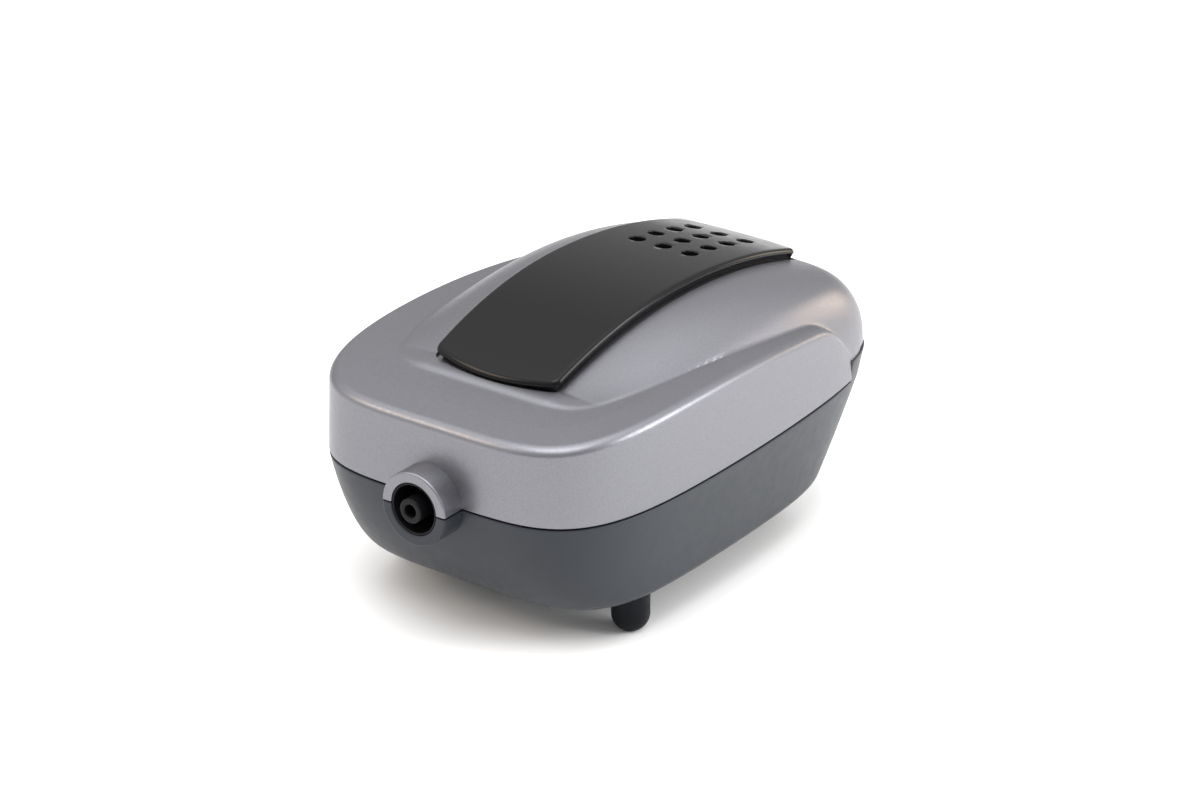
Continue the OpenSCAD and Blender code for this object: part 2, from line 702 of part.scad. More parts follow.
module magnets() {
    color([0.3, 0.3, 0.32]) casing_frame() for (sx = [-1, 1])
        box([core_x + sx * 7.5 - magnet_hw, magnet_back, -magnet_hw],
            [core_x + sx * 7.5 + magnet_hw, holder_y + 5.2, magnet_hw]);
}

// ---- fixed bracket and pin ----
bracket_low = -14;
bracket_spots = [[pivot_x, pivot_y - 9.5], [pivot_x, pivot_y + 9.5]];
ear_in = 8;
ear_out = 11;
module pivot_bracket() {
    color(pale_plastic) casing_frame() difference() {
        union() {
            box([pivot_x - 5.2, pivot_y - 12.8, bracket_low],
                [pivot_x + 4, pivot_y + 12.8, bracket_low + 2.5]);
            box([pivot_x - 5.2, pivot_y - 5, bracket_low], [pivot_x - 3.6, pivot_y + 5, ear_out]);
            box([pivot_x - 5.2, pivot_y - 5, ear_in], [pivot_x + 3.5, pivot_y + 5, ear_out]);
            box([pivot_x - 5.2, pivot_y - 5, bracket_low], [pivot_x + 3.5, pivot_y + 5, -ear_in]);
        }
        along_z(pin_r + 0.02, bracket_low - 1, ear_out + 1, pivot_x, pivot_y);
        for (p = bracket_spots) along_z(1.6, bracket_low - 1, bracket_low + 4, p[0], p[1]);
    }
}

module pivot_pin() {
    color(steel) casing_frame() union() {
        along_z(pin_r, bracket_low, ear_out + 0.1, pivot_x, pivot_y);
        along_z(pin_r + 0.8, ear_out + 0.02, ear_out + 1, pivot_x, pivot_y);
    }
}

module bracket_screws() {
    color(steel) casing_frame() for (p = bracket_spots)
        screw(p[0], p[1], bracket_low + 2.52, 7, 1.2, 2.6, -1);
}

// ---- electromagnet ----
core_hw = 20;
core_y0 = 61.5;
core_y1 = 91.5;
core_hh = 7;
core_low = -core_hh;
leg_hw = 6;
side_leg = 6.5;
yoke = 7;
core_spots = [[core_x - 16.5, core_y1 - 5], [core_x + 16.5, core_y1 - 5]];
module core_laminations() {
    color([0.45, 0.46, 0.48]) casing_frame() difference() {
        box([core_x - core_hw, core_y0, -core_hh], [core_x + core_hw, core_y1, core_hh]);
        for (sx = [-1, 1])
            box([core_x + sx * 9.75 - 3.75, core_y0 - 1, -core_hh - 1],
                [core_x + sx * 9.75 + 3.75, core_y1 - yoke, core_hh + 1]);
        for (p = core_spots) along_z(1.7, -core_hh - 1, core_hh + 1, p[0], p[1]);
    }
}

bob_y0 = core_y0 + 2;
bob_y1 = core_y1 - yoke - 0.3;
bob_t = 1;
bob_out = 7.1;
// Square ring around the middle leg, out from its face by a to b
module leg_ring(a, b, y0, y1) {
    difference() {
        box([core_x - leg_hw - b, y0, -core_hh - b], [core_x + leg_hw + b, y1, core_hh + b]);
        box([core_x - leg_hw - a, y0 - 1, -core_hh - a], [core_x + leg_hw + a, y1 + 1, core_hh + a]);
    }
}
module coil_bobbin() {
    color(pale_plastic) casing_frame() {
        leg_ring(0.1, bob_t, bob_y0, bob_y1);
        leg_ring(0.1, bob_out, bob_y0, bob_y0 + 1.2);
        leg_ring(0.1, bob_out, bob_y1 - 1.2, bob_y1);
    }
}
module coil_winding() {
    color(copper) casing_frame()
        leg_ring(bob_t + 0.05, bob_out - 1.3, bob_y0 + 1.25, bob_y1 - 1.25);
}
module winding_tape() {
    color([0.85, 0.75, 0.3]) casing_frame()
        leg_ring(bob_out - 1.25, bob_out - 0.9, bob_y0 + 1.25, bob_y1 - 1.25);
}
module core_screws() {
    color(steel) casing_frame() for (p = core_spots)
        screw(p[0], p[1], core_hh + 0.02, 22, screw_r, 3, -1);
}

// ---- coil leads, ready to be joined to the mains cord ----
lead_r = 0.8;
lead_route = [[0, 84.5, 12], [0, 87, 12], [-3, 92, 10], [-7, 95, 5], [-10, 97, 0], [-12, 97.5, -5]];
function unit(v) = v / norm(v);
module sweep(route, r, sides) {
    last = len(route) - 1;
    rings = [for (k = [0:last])
        let (t = unit(route[min(k + 1, last)] - route[max(k - 1, 0)]))
        let (u = unit(cross(t, [1, 0.2, 0])))
        let (v = cross(t, u))
        [for (i = [0:sides - 1]) let (a = i * 360 / sides) route[k] + r * (u * cos(a) + v * sin(a))]];
    loft(rings, route[0], route[last]);
}
module coil_leads() {
    color([0.8, 0.8, 0.8]) casing_frame() for (dx = [-2.5, 2.5])
        translate([dx, 0, 0]) sweep(lead_route, lead_r, 8);
}
module lead_caps() {
    tip = lead_route[5];
    color(pale_plastic) casing_frame() for (dx = [-2.5, 2.5])
        translate([tip[0] + dx, tip[1], tip[2] - 9.2]) cylinder(r = 2, h = 9, $fn = fine);
}

top_housing();
bottom_housing();
top_panel();
air_filter();
outlet_nozzle();
cord_grommet();
foot_front_left();
foot_front_right();
foot_rear_left();
foot_rear_right();
housing_screws();
air_hose();
chamber_body();
valve_cover();
valve_gasket();
inlet_flap();
outlet_flap();
diaphragm();
diaphragm_ring();
chamber_screws();
mount_screws();
diaphragm_plate();
diaphragm_screw();
swing_arm();
magnet_holder();
magnets();
pivot_pin();
pivot_bracket();
bracket_screws();
core_laminations();
coil_bobbin();
coil_winding();
winding_tape();
core_screws();
coil_leads();
lead_caps();
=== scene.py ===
"""Aquarium air pump: fine meshes, materials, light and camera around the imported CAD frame."""

import json
import math

import bmesh
import bpy
import numpy as np
from mathutils import Matrix, Vector


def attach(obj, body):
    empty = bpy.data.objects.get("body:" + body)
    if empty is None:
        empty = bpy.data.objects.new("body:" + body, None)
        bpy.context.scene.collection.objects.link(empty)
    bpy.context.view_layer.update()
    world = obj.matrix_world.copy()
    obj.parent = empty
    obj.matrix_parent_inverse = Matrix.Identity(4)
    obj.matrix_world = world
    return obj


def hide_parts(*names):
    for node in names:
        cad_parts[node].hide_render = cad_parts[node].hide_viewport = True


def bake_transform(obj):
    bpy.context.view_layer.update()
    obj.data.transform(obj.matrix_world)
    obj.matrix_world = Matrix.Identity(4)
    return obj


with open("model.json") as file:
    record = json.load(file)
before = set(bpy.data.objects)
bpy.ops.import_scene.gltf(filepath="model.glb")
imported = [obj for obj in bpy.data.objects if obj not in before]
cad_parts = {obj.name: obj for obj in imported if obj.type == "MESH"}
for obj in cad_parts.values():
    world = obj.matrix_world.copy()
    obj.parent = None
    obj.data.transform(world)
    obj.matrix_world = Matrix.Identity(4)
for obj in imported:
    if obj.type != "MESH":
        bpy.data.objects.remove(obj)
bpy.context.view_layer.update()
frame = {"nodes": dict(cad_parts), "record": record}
NODES = frame["nodes"]

MM = 0.001

# ---------------------------------------------------------------- driving sizes, in millimetres
BODY_W = 80.0
BODY_L = 117.0
HULL_D = 24.0
FOOT_H = 9.0
WALL = 2.2
SEAM_GAP = 0.42
STEP_H = 4.5
STEP_Y = 100.0
NOZZLE_OUT = 6.6
COLLAR_OUT = 5.6
COLLAR_R = 8.05
RECESS_R = 5.75
NOZZLE_R = 2.7
AIRWAY_R = 1.45
SHELF_R = 1.9
DOME_R = 8.0
DRAFT = 0.43
VENT_D = 3.7
VENT_PITCH = 6.9
VENT_Y = 80.9

# The casing frame has y from the front wall and z from the parting line.
SEAM_Z = FOOT_H + HULL_D
FRONT_Y = -(BODY_L - NOZZLE_OUT) / 2
ORIGIN = np.array([0.0, FRONT_Y, SEAM_Z])


def place(points):
    """Casing-frame millimetres to the row frame in metres."""
    return (np.asarray(points, float) + ORIGIN) * MM


# ---------------------------------------------------------------- camera
VIEW_AZIMUTH = 36.37
VIEW_ELEVATION = 24.54
VIEW_DISTANCE = 898.8
VIEW_TARGET = (0.0, 65.0, 0.0)
VIEW_RIGHT = 4.155
VIEW_UP = 1.473
LENS = 125.97
SENSOR = 36.0


def make_camera():
    a, e = math.radians(VIEW_AZIMUTH), math.radians(VIEW_ELEVATION)
    right = Vector((math.cos(a), math.sin(a), 0))
    up = Vector((-math.sin(a) * math.sin(e), math.cos(a) * math.sin(e), math.cos(e)))
    ahead = Vector((-math.sin(a) * math.cos(e), math.cos(a) * math.cos(e), -math.sin(e)))
    data = bpy.data.cameras.new("camera")
    data.lens = LENS
    data.sensor_width = SENSOR
    data.clip_start = 0.05
    data.clip_end = 20
    cam = bpy.data.objects.new("camera", data)
    bpy.context.scene.collection.objects.link(cam)
    target = Vector(place(VIEW_TARGET))
    back = -ahead * VIEW_DISTANCE - right * VIEW_RIGHT - up * VIEW_UP
    pose = Matrix((right, up, -ahead)).transposed().to_4x4()
    pose.translation = target + back * MM
    cam.matrix_world = pose
    bpy.context.scene.camera = cam


make_camera()

# ---------------------------------------------------------------- casing formulas
PLAN_YC = 50.5
WIDE_Y = 50.3
SIDE_R = 440.0
FRONT_N = 4.6
REAR_N = 7.2
RIDGE_H = 27.5
RIDGE_Y = 63.0
RIDGE_RF = 114.3
RIDGE_RR = 147.2
SHELF_H = 19.6
SHELF_MID = 54.0
SHELF_TILT = 1.94
SHELF_SAG = 4.67
SHELF_TAIL = 85.0
SHELF_FALL = 0.035
SHELF_CROWN = 0.2
DOME_HW = 33.8
DOME_TAPER = 0.0018
DOME_N = 4.62
DOME_N_RATE = 0.0445
DOME_N_Y = 60.0
NOSE_Y = 17.0
NOSE_RUN = 10.0
NOSE_HW = 27.0
NOSE_N = 8
NOSE_CAP = 4.0
RAMP = 1.1
LIP_H = 0.8
LIP_Y = 32.0
LIP_FADE = 10.0
LIP_HW = 26.0
NOSE_BLEND = 0.7
DOME_BLEND = 0.4
SIDE_SLOPE = 0.21
KEEL_R = 2.1
BOW_SLOPE = 0.198
BOW_RUN = 9.6
BOW_H = 21.2
STERN_SLOPE = 0.453
STERN_CURVE = 0.004
STERN_R = 2.8


def half_w(y):
    return BODY_W / 2 - (y - WIDE_Y) ** 2 / (2 * SIDE_R)


def oval_r(a, b, n, phi):
    return ((abs(np.cos(phi)) / a) ** n + (abs(np.sin(phi)) / b) ** n) ** (-1 / n)


def plan(phi, dx, df, dr):
    """Outline at polar angles phi, moved in by dx at the sides, df at the front, dr at the rear."""
    front = np.sin(phi) < 0
    a = BODY_W / 2 - dx
    b = np.where(front, PLAN_YC - df, BODY_L - PLAN_YC - dr)
    n = np.where(front, FRONT_N, REAR_N)
    r = oval_r(a, b, n, phi)
    y = PLAN_YC + r * np.sin(phi)
    return r * np.cos(phi) * half_w(y) / (BODY_W / 2), y


def ridge(y):
    r = np.where(y < RIDGE_Y, RIDGE_RF, RIDGE_RR)
    return RIDGE_H - r + np.sqrt(r * r - (y - RIDGE_Y) ** 2)


def plinth(y):
    """Level from which the dome rises."""
    u = (y - SHELF_MID) / SHELF_MID
    return SHELF_H - SHELF_TILT * u - SHELF_SAG * u * u


def shelf(y):
    return plinth(y) - SHELF_FALL * np.maximum(0, y - SHELF_TAIL) ** 2


def dome(x, y):
    foot = DOME_HW - DOME_TAPER * np.maximum(0, SHELF_TAIL - y) ** 2
    fall = np.maximum(1, ridge(y) - plinth(y) - SHELF_CROWN)
    return ridge(y) - fall * (abs(x) / foot) ** (DOME_N + DOME_N_RATE * (y - DOME_N_Y))


def nose_line(x):
    return NOSE_Y + NOSE_RUN * np.minimum(NOSE_CAP, (abs(x) / NOSE_HW) ** NOSE_N)


def soft_max(a, b, e):
    """The larger of the two, rounded over a width e where they cross."""
    return (a + b + np.sqrt((a - b) ** 2 + e * e)) / 2


def soft_min(a, b, e):
    return (a + b - np.sqrt((a - b) ** 2 + e * e)) / 2


def edge_drop(r, d):
    """Drop of a quarter-round edge of radius r at a distance d in from it."""
    return r - np.sqrt(r * r - np.clip(r - d, 0, r) ** 2)


def top_z(x, y, d):
    """Height of the silver top at a distance d in from its outline."""
    base = shelf(y) + SHELF_CROWN * np.minimum(1, d / DOME_R)
    nose = base + RAMP * (y - nose_line(x))
    back = np.clip((LIP_Y - y) / LIP_FADE, 0, 1)
    lip = LIP_H * back * np.clip((LIP_HW - abs(x)) / LIP_FADE, 0, 1)
    crown = soft_min(np.maximum(dome(x, y), base + lip), nose, NOSE_BLEND)
    return soft_max(base - edge_drop(SHELF_R, d), crown - edge_drop(DOME_R, d), DOME_BLEND)


# The next three say how far the graphite hull moves in at a depth q below the parting line.
def hull_side(q):
    return SIDE_SLOPE * np.maximum(0, q) + edge_drop(KEEL_R, HULL_D - q)


def hull_front(q):
    return BOW_SLOPE * np.maximum(0, q) + BOW_RUN / BOW_H * edge_drop(BOW_H, HULL_D - q)


def hull_rear(q):
    u = q + STEP_H
    return STERN_SLOPE * u + STERN_CURVE * u * u + edge_drop(STERN_R, HULL_D - q)


# Polar angles of the columns, with a close pair at the step of the parting line
STEP_RATIO = ((STEP_Y - PLAN_YC) / (BODY_L - PLAN_YC)) ** REAR_N
STEP_PHI = math.atan2(STEP_Y - PLAN_YC, BODY_W / 2 * (1 - STEP_RATIO) ** (1 / REAR_N))
STEP_PAIR = math.radians(0.05)
COLS_FRONT = 210
COLS_REAR = 60


def column_angles():
    low = np.linspace(-math.pi / 2, STEP_PHI - STEP_PAIR, COLS_FRONT)
    high = np.linspace(STEP_PHI + STEP_PAIR, math.pi / 2, COLS_REAR)
    half = np.concatenate([low, high])
    return np.concatenate([half, math.pi - half[-2:0:-1]])


PHI = column_angles()
RIM_Z = np.where(np.sin(PHI) > math.sin(STEP_PHI), STEP_H, 0.0)


def ring(x, y, z):
    return np.stack([x, y, np.broadcast_to(z, np.shape(x))], -1)


# ---------------------------------------------------------------- mesh helpers
SHARP = math.radians(38)
WELD = 1e-7


def reset_normals(mesh, weld=False):
    """Turns every face outwards, after merging doubled points if weld is set."""
    bm = bmesh.new()
    bm.from_mesh(mesh)
    if weld:
        bmesh.ops.remove_doubles(bm, verts=bm.verts, dist=WELD)
    bmesh.ops.recalc_face_normals(bm, faces=bm.faces)
    bm.to_mesh(mesh)
    bm.free()
    mesh.set_sharp_from_angle(angle=SHARP)


def mesh_object(name, points, faces):
    """A Blender object from row-frame metres, smooth but for its sharp edges."""
    mesh = bpy.data.meshes.new(name)
    mesh.from_pydata([tuple(p) for p in points], [], faces)
    mesh.validate()
    mesh.shade_smooth()
    reset_normals(mesh)
    obj = bpy.data.objects.new(name, mesh)
    bpy.context.scene.collection.objects.link(obj)
    return obj


def loft(name, rings, pole_a, pole_b):
    """Closed solid from rings of equal length that run from one pole to the other."""
    m, n = len(rings), len(rings[0])
    points = np.concatenate([np.concatenate(rings), [pole_a, pole_b]])
    i = np.arange(n)
    j = (i + 1) % n
    faces = []
    for k in range(m - 1):
        a, b = k * n + i, k * n + j
        faces += np.stack([a, b, b + n, a + n], -1).tolist()
    faces += np.stack([np.full(n, n * m), j, i], -1).tolist()
    faces += np.stack([np.full(n, n * m + 1), n * (m - 1) + i, n * (m - 1) + j], -1).tolist()
    return mesh_object(name, place(points), faces)


def turned(name, profile, axis_point, sides=96, along="-y"):
    """Solid of revolution. Profile is a closed list of (radius, distance along the axis)."""
    n = len(profile)
    points, faces = [], []
    for k in range(sides):
        t = 2 * math.pi * k / sides
        for r, s in profile:
            u, v = r * math.cos(t), r * math.sin(t)
            p = (u, -s, v) if along == "-y" else (u, v, s)
            points.append([a + b for a, b in zip(axis_point, p)])
    for k in range(sides):
        a, b = k * n, (k + 1) % sides * n
        for i in range(n):
            j = (i + 1) % n
            faces.append((a + i, a + j, b + j, b + i))
    obj = mesh_object(name, place(points), faces)
    reset_normals(obj.data, weld=True)
    return obj


def arc(cx, cy, r, start, end, steps):
    """Points of an arc in a profile, angles in degrees."""
    return [
        (cx + r * math.cos(math.radians(t)), cy + r * math.sin(math.radians(t)))
        for t in np.linspace(start, end, steps)
    ]


def boolean(obj, tool, kind):
    """Applies the tool to the object and removes the tool."""
    mod = obj.modifiers.new("cut", "BOOLEAN")
    mod.operation = kind
    mod.object = tool
    mod.solver = "EXACT"
    graph = bpy.context.evaluated_depsgraph_get()
    mesh = bpy.data.meshes.new_from_object(obj.evaluated_get(graph))
    obj.modifiers.clear()
    obj.data = mesh
    mesh.shade_smooth()
    mesh.set_sharp_from_angle(angle=SHARP)
    bpy.data.objects.remove(tool)


def join(name, objs):
    """One object from several, all at the origin."""
    bm = bmesh.new()
    for o in objs:
        bm.from_mesh(o.data)
    mesh = bpy.data.meshes.new(name)
    bm.to_mesh(mesh)
    bm.free()
    for o in objs:
        bpy.data.objects.remove(o)
    obj = bpy.data.objects.new(name, mesh)
    bpy.context.scene.collection.objects.link(obj)
    mesh.set_sharp_from_angle(angle=SHARP)
    return obj


# ---------------------------------------------------------------- materials
def material(name, color, metallic, roughness, specular=0.5):
    mat = bpy.data.materials.new(name)
    mat.use_nodes = True
    shader = mat.node_tree.nodes["Principled BSDF"]
    shader.inputs["Base Color"].default_value = (*color, 1)
    shader.inputs["Metallic"].default_value = metallic
    shader.inputs["Roughness"].default_value = roughness
    shader.inputs["Specular IOR Level"].default_value = specular
    return mat, shader


def noise(mat, scale, detail=2.0, rough=0.5):
    """Noise from 0 to 1 on the object's own coordinates. Scale is in cells a metre."""
    tree = mat.node_tree
    coord = tree.nodes.new("ShaderNodeTexCoord")
    node = tree.nodes.new("ShaderNodeTexNoise")
    node.inputs["Scale"].default_value = scale
    node.inputs["Detail"].default_value = detail
    node.inputs["Roughness"].default_value = rough
    tree.links.new(coord.outputs["Object"], node.inputs["Vector"])
    return node.outputs["Fac"]


def vary_color(mat, shader, value, low, high):
    node = mat.node_tree.nodes.new("ShaderNodeMix")
    node.data_type = "RGBA"
    node.inputs[6].default_value = (*low, 1)
    node.inputs[7].default_value = (*high, 1)
    mat.node_tree.links.new(value, node.inputs[0])
    mat.node_tree.links.new(node.outputs[2], shader.inputs["Base Color"])


NOISE_LOW = 0.3
NOISE_HIGH = 0.7


def vary_roughness(mat, shader, value, low, high):
    """Spreads the noise, which stays near its middle, over the whole range."""
    node = mat.node_tree.nodes.new("ShaderNodeMapRange")
    node.inputs["From Min"].default_value = NOISE_LOW
    node.inputs["From Max"].default_value = NOISE_HIGH
    node.inputs["To Min"].default_value = low
    node.inputs["To Max"].default_value = high
    mat.node_tree.links.new(value, node.inputs["Value"])
    mat.node_tree.links.new(node.outputs["Result"], shader.inputs["Roughness"])


def bump(mat, shader, value, strength, distance):
    """Relief from the value. Distance is its full height in metres."""
    node = mat.node_tree.nodes.new("ShaderNodeBump")
    node.inputs["Strength"].default_value = strength
    node.inputs["Distance"].default_value = distance
    mat.node_tree.links.new(value, node.inputs["Height"])
    mat.node_tree.links.new(node.outputs["Normal"], shader.inputs["Normal"])


def silver_paint():
    """Satin metallic paint: fine flake in the colour, a light orange-peel bump."""
    mat, shader = material("silver_paint", (0.196, 0.197, 0.217), 0.8, 0.36)
    flake = noise(mat, 4200, 1.5)
    vary_color(mat, shader, flake, (0.15, 0.151, 0.167), (0.242, 0.243, 0.267))
    vary_roughness(mat, shader, noise(mat, 900, 2.0), 0.33, 0.4)
    bump(mat, shader, noise(mat, 2600, 2.0), 0.06, 0.00005)
    return mat


def moulded(name, color, roughness, strength=0.06, specular=0.5):
    """Moulded plastic with a fine spark-eroded grain."""
    mat, shader = material(name, color, 0.0, roughness, specular)
    shade = [c * 0.92 for c in color], [min(1, c * 1.08) for c in color]
    vary_color(mat, shader, noise(mat, 60, 3.0), *shade)
    vary_roughness(mat, shader, noise(mat, 400, 3.0), roughness - 0.03, roughness + 0.04)
    bump(mat, shader, noise(mat, 2200, 2.0), strength, 0.00005)
    return mat


def rubber():
    color = (0.005, 0.006, 0.008)
    mat, shader = material("black_rubber", color, 0.0, 0.5, 0.12)
    shade = [c * 0.8 for c in color], [c * 1.4 for c in color]
    vary_color(mat, shader, noise(mat, 300, 4.0), *shade)
    vary_roughness(mat, shader, noise(mat, 700, 3.0), 0.42, 0.6)
    bump(mat, shader, noise(mat, 1800, 3.0), 0.12, 0.00008)
    return mat


def felt():
    """Matted dark fibres."""
    mat, shader = material("felt", (0.03, 0.03, 0.03), 0.0, 0.95, 0.1)
    vary_color(mat, shader, noise(mat, 2500, 6.0, 0.8), (0.01, 0.01, 0.01), (0.05, 0.05, 0.05))
    bump(mat, shader, noise(mat, 3000, 6.0, 0.8), 0.9, 0.0003)
    return mat


def metal(name, color, roughness):
    """Plated steel with a fine tumbled grain."""
    mat, shader = material(name, color, 1.0, roughness)
    vary_roughness(mat, shader, noise(mat, 1500, 3.0), roughness - 0.06, roughness + 0.1)
    vary_color(mat, shader, noise(mat, 200, 4.0), [c * 0.85 for c in color], color)
    bump(mat, shader, noise(mat, 1500, 3.0), 0.08, 0.00004)
    return mat


# Blender's wave texture has one ridge every 0.314 of its coordinate at scale 1.
WAVE_PERIOD = 0.314


def layered(name, color, metallic, roughness, period, axis, depth):
    """Stacked sheets or wound wire: a fine ridge every period along one axis."""
    mat, shader = material(name, color, metallic, roughness)
    tree = mat.node_tree
    coord = tree.nodes.new("ShaderNodeTexCoord")
    wave = tree.nodes.new("ShaderNodeTexWave")
    wave.bands_direction = axis
    wave.inputs["Scale"].default_value = WAVE_PERIOD / period
    wave.inputs["Distortion"].default_value = 0.3
    tree.links.new(coord.outputs["Object"], wave.inputs["Vector"])
    # Each ridge's low band is painted darker, down to 0.45 of the colour: painted shade in the
    # grooves between wire and tape turns; between stacked sheets it is partly painted shade and
    # partly their dark joints.
    vary_color(mat, shader, wave.outputs["Fac"], [c * 0.45 for c in color], color)
    bump(mat, shader, wave.outputs["Fac"], 0.6, depth)
    return mat


GRAPHITE = (0.025, 0.029, 0.036)
CHARCOAL = (0.004, 0.004, 0.0045)
BLACK = (0.004, 0.004, 0.005)
PALE = (0.66, 0.65, 0.58)
ZINC = (0.62, 0.63, 0.66)
SHEET_STEEL = (0.3, 0.31, 0.33)
CERAMIC = (0.07, 0.07, 0.075)
COPPER = (0.6, 0.24, 0.09)
TAPE = (0.7, 0.52, 0.12)
SLEEVE = (0.6, 0.6, 0.58)
SHEET_T = 0.0005
WIRE_T = 0.0003
TAPE_T = 0.0004


def all_materials():
    return {
        "silver_paint": silver_paint(),
        "graphite_plastic": moulded("graphite_plastic", GRAPHITE, 0.38, specular=0.24),
        "charcoal_plastic": moulded("charcoal_plastic", CHARCOAL, 0.19, 0.02, 0.2),
        "black_plastic": moulded("black_plastic", BLACK, 0.4, specular=0.15),
        "black_rubber": rubber(),
        "felt": felt(),
        "pale_plastic": moulded("pale_plastic", PALE, 0.45),
        "zinc_steel": metal("zinc_steel", ZINC, 0.32),
        "core_steel": layered("core_steel", SHEET_STEEL, 0.9, 0.45, SHEET_T, "Z", 0.00015),
        "magnet_ceramic": moulded("magnet_ceramic", CERAMIC, 0.55, strength=0.15),
        "enamelled_copper": layered("enamelled_copper", COPPER, 0.9, 0.3, WIRE_T, "Y", 0.0001),
        "coil_tape": layered("coil_tape", TAPE, 0.0, 0.5, TAPE_T, "Y", 0.00005),
        "lead_sleeve": moulded("lead_sleeve", SLEEVE, 0.5),
    }


MATERIALS = all_materials()
SLOT_OF = {s["node"]: s["material_slot"] for s in frame["record"]["subparts"]}


def finish_piece(obj, node, *more_nodes, body="casing"):
    """Rides on its body, stands for its CAD nodes and takes their material."""
    slot = SLOT_OF[node]
    obj.data.materials.clear()
    obj.data.materials.append(MATERIALS[slot])
    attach(obj, body)
    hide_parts(node, *more_nodes)
    return obj


CAD_SHARP = math.radians(35)


def paint_cad_nodes():
    """Gives each CAD node the material of its slot, for those that no piece replaces."""
    for name, obj in NODES.items():
        obj.data.materials.clear()
        obj.data.materials.append(MATERIALS[SLOT_OF[name]])
        if len(obj.data.polygons):
            obj.data.shade_smooth()
            obj.data.set_sharp_from_angle(angle=CAD_SHARP)


paint_cad_nodes()

# ---------------------------------------------------------------- outlet collar
COLLAR_EDGE = 0.45
COLLAR_LIP = 0.25
COLLAR_BASE = 3.0
COLLAR_OVERLAP = 0.3
OUTLET_REACH = 9


def collar_half(name, side):
    """Half a ring around the outlet, flat in front with a small rounded edge."""
    front = COLLAR_OUT
    edge, lip = COLLAR_EDGE, COLLAR_LIP
    nose_out = arc(COLLAR_R - edge, front - edge, edge, 0, 90, 8)
    nose_in = arc(RECESS_R + lip, front - lip, lip, 90, 180, 6)
    profile = [(RECESS_R, -COLLAR_BASE), (COLLAR_R, -COLLAR_BASE)] + nose_out + nose_in
    obj = turned(name, profile, (0, 0, 0), 128)
    gap = SEAM_GAP / 2
    bm = bmesh.new()
    bm.from_mesh(obj.data)
    plane = Vector(place((0, 0, side * gap)))
    cut = bmesh.ops.bisect_plane(
        bm,
        geom=bm.verts[:] + bm.edges[:] + bm.faces[:],
        plane_co=plane,
        plane_no=Vector((0, 0, -side)),
        clear_outer=True,
    )
    edges = [g for g in cut["geom_cut"] if isinstance(g, bmesh.types.BMEdge)]
    bmesh.ops.holes_fill(bm, edges=edges)
    bmesh.ops.recalc_face_normals(bm, faces=bm.faces)
    bm.to_mesh(obj.data)
    bm.free()
    obj.data.set_sharp_from_angle(angle=SHARP)
    return obj


def outlet_cutter():
    """Opening in the front walls behind the collar."""
    r = COLLAR_R - COLLAR_OVERLAP
    reach = OUTLET_REACH
    profile = [(0, -reach), (r, -reach), (r, reach), (0, reach)]
    return turned("outlet_cutter", profile, (0, 0, 0), 64)


# ---------------------------------------------------------------- top housing
EDGE_R = 0.3
LAST_D = 19.1
ROW_PITCH = 0.3
POLE_S = 0.02


def top_ring(d, s=1.0, drop=0.0):
    """Ring of the top a distance d in from its edge, shrunk by s towards the middle."""
    x, y = plan(PHI, d + DRAFT, d + DRAFT, d + DRAFT)
    x, y = x * s, PLAN_YC + (y - PLAN_YC) * s
    inset = d + (1 - s) * (BODY_W / 2 - d)
    return ring(x, y, top_z(x, y, inset) - drop)


def wall_ring(t, edge=0.0, lift=0.0):
    """Ring of the outer wall: t is 0 at the rim and 1 where the rounding starts."""
    foot = RIM_Z + SEAM_GAP / 2
    top = top_ring(0)[:, 2]
    z = foot + lift + (top - foot - lift) * t
    inset = DRAFT * z / top + edge
    x, y = plan(PHI, inset, inset, inset)
    return ring(x, y, z)


def top_housing():
    """Silver shell from the middle of the top out to the rim and back along the inside."""
    turn = np.radians(np.linspace(90, 0, 6))
    rounding = [SHELF_R * (1 - math.cos(a)) for a in np.radians(np.linspace(4, 90, 14))]
    beyond = np.arange(SHELF_R + ROW_PITCH, LAST_D + 0.01, ROW_PITCH)
    centre = np.linspace(1, POLE_S, 52)[1:]
    rings = [top_ring(LAST_D, s) for s in centre[::-1]]
    rings += [top_ring(d) for d in [*rounding, *beyond][::-1]]
    rings += [top_ring(0)]
    rings += [wall_ring(t, lift=EDGE_R) for t in np.linspace(1, 0, 14)[1:]]
    rim = [(EDGE_R * (1 - math.sin(a)), EDGE_R * (1 - math.cos(a))) for a in turn[1:]]
    rings += [wall_ring(0, edge, lift) for edge, lift in rim]
    rings += [wall_ring(0, WALL)]
    inner = [top_ring(d, 1.0, WALL) for d in (WALL, 3, 5, 8, 11, LAST_D)]
    inner += [top_ring(LAST_D, s, WALL) for s in (0.8, 0.6, 0.4, 0.2, POLE_S)]
    rings += inner
    height = float(ridge(np.array(PLAN_YC)))
    shell = loft("top_shell", rings, (0, PLAN_YC, height), (0, PLAN_YC, height - WALL))
    boolean(shell, join("top_cutters", [outlet_cutter(), panel_pocket()]), "DIFFERENCE")
    return join("top_housing_shell", [shell, collar_half("collar_top", 1)])


# ---------------------------------------------------------------- bottom housing
def hull_ring(q, t=0.0):
    """Ring of the hull at a depth q, moved in by t."""
    depth = np.broadcast_to(np.asarray(q, float), np.shape(PHI))
    x, y = plan(PHI, hull_side(depth) + t, hull_front(depth) + t, hull_rear(depth) + t)
    return ring(x, y, -depth)


def floor_ring(s, z):
    flat = hull_ring(HULL_D)
    return ring(flat[:, 0] * s, PLAN_YC + (flat[:, 1] - PLAN_YC) * s, z)


